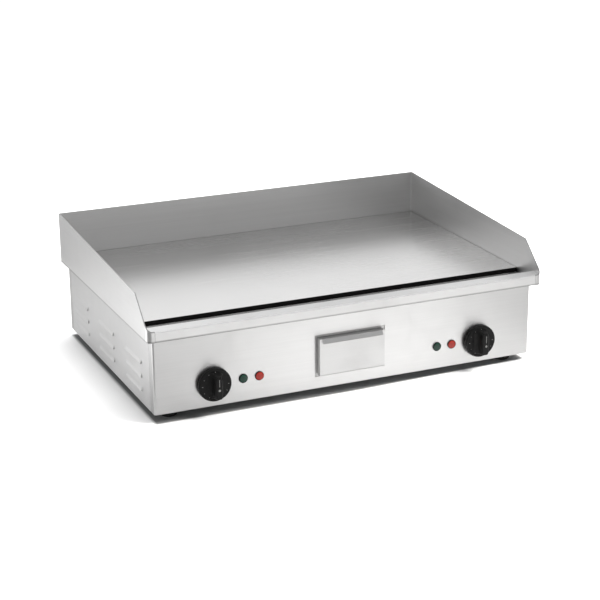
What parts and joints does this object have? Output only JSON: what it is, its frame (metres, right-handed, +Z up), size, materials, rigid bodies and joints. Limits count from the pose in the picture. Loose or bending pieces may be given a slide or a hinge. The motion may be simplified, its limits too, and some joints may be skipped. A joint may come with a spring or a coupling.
{
  "type": "countertop flat top griddle",
  "caption": "Electric countertop flat top griddle with splash guards, a grease gutter and drawer, thermostat knobs and pilot lamps.",
  "frame": {"origin": "on the worktop, under the middle of the bounding box, the knobs and the cable gland included", "axes": "+X to the user's right, +Y from the user to the back, +Z up"},
  "size_m": [0.73, 0.532, 0.239],
  "materials": {
    "brushed_stainless": "fine straight brushed grain",
    "ground_steel": "ground and polished cooking face, dark mill scale on the edges",
    "zinc_plated_steel": "dull zinc plating",
    "element_sheath": "oxidised steel tube",
    "black_phenolic": "moulded, half gloss",
    "black_rubber": "matt moulded rubber",
    "black_nylon": "moulded, fine texture",
    "green_lens": "tinted, glossy",
    "red_lens": "tinted, glossy",
    "ceramic_fibre": "felted white fibre",
    "ceramic": "glazed ceramic",
    "copper": "drawn copper tube",
    "brass": "turned brass",
    "silicone_sleeve": "braided silicone sleeve"
  },
  "bodies": {
    "housing": {"front_panel": "brushed_stainless", "rear_panel": "brushed_stainless", "left_side_panel": "brushed_stainless", "right_side_panel": "brushed_stainless", "left_splash_guard": "brushed_stainless", "right_splash_guard": "brushed_stainless", "rear_splash_guard": "brushed_stainless", "front_lip": "brushed_stainless", "grease_gutter": "brushed_stainless", "drawer_surround": "brushed_stainless", "griddle_plate": "ground_steel", "base_plate": "zinc_plated_steel", "foot_screw_front_left": "zinc_plated_steel", "foot_screw_front_right": "zinc_plated_steel", "foot_screw_rear_left": "zinc_plated_steel", "foot_screw_rear_right": "zinc_plated_steel", "drain_spout": "zinc_plated_steel", "heat_shield_pan": "zinc_plated_steel", "element_clamp_bar_left": "zinc_plated_steel", "element_clamp_bar_right": "zinc_plated_steel", "clamp_nut_left_outer": "zinc_plated_steel", "clamp_nut_left_inner": "zinc_plated_steel", "clamp_nut_right_outer": "zinc_plated_steel", "clamp_nut_right_inner": "zinc_plated_steel", "drawer_runner_left": "zinc_plated_steel", "drawer_runner_right": "zinc_plated_steel", "heating_element_left": "element_sheath", "heating_element_right": "element_sheath", "foot_front_left": "black_rubber", "foot_front_right": "black_rubber", "foot_rear_left": "black_rubber", "foot_rear_right": "black_rubber", "power_lamp_left_body": "black_nylon", "heating_lamp_left_body": "black_nylon", "power_lamp_right_body": "black_nylon", "heating_lamp_right_body": "black_nylon", "cable_gland_body": "black_nylon", "cable_gland_dome_nut": "black_nylon", "cable_gland_locknut": "black_nylon", "power_lamp_left_lens": "green_lens", "power_lamp_right_lens": "green_lens", "heating_lamp_left_lens": "red_lens", "heating_lamp_right_lens": "red_lens", "insulation_blanket_left": "ceramic_fibre", "insulation_blanket_right": "ceramic_fibre", "thermostat_body_left": "ceramic", "thermostat_body_right": "ceramic", "terminal_block": "ceramic", "thermostat_bulb_left": "copper", "thermostat_bulb_right": "copper", "earth_stud": "brass", "earth_nut": "brass", "wiring_loom_left": "silicone_sleeve", "wiring_loom_right": "silicone_sleeve"},
    "drawer": {"drawer_front": "brushed_stainless", "drawer_box": "brushed_stainless"},
    "left_knob": {"knob_left": "black_phenolic", "thermostat_shaft_left": "zinc_plated_steel"},
    "right_knob": {"knob_right": "black_phenolic", "thermostat_shaft_right": "zinc_plated_steel"}
  },
  "joints": [
    {"name": "drawer_slide", "type": "slide", "parent": "housing", "child": "drawer", "axis": [0, -1, 0], "range_m": [0, 0.26]},
    {"name": "left_knob_turn", "type": "hinge", "parent": "housing", "child": "left_knob", "pos_m": [-0.249, -0.236, 0.055], "axis": [0, 1, 0], "range_deg": [0, 270]},
    {"name": "right_knob_turn", "type": "hinge", "parent": "housing", "child": "right_knob", "pos_m": [0.249, -0.236, 0.055], "axis": [0, 1, 0], "range_deg": [0, 270]}
  ]
}
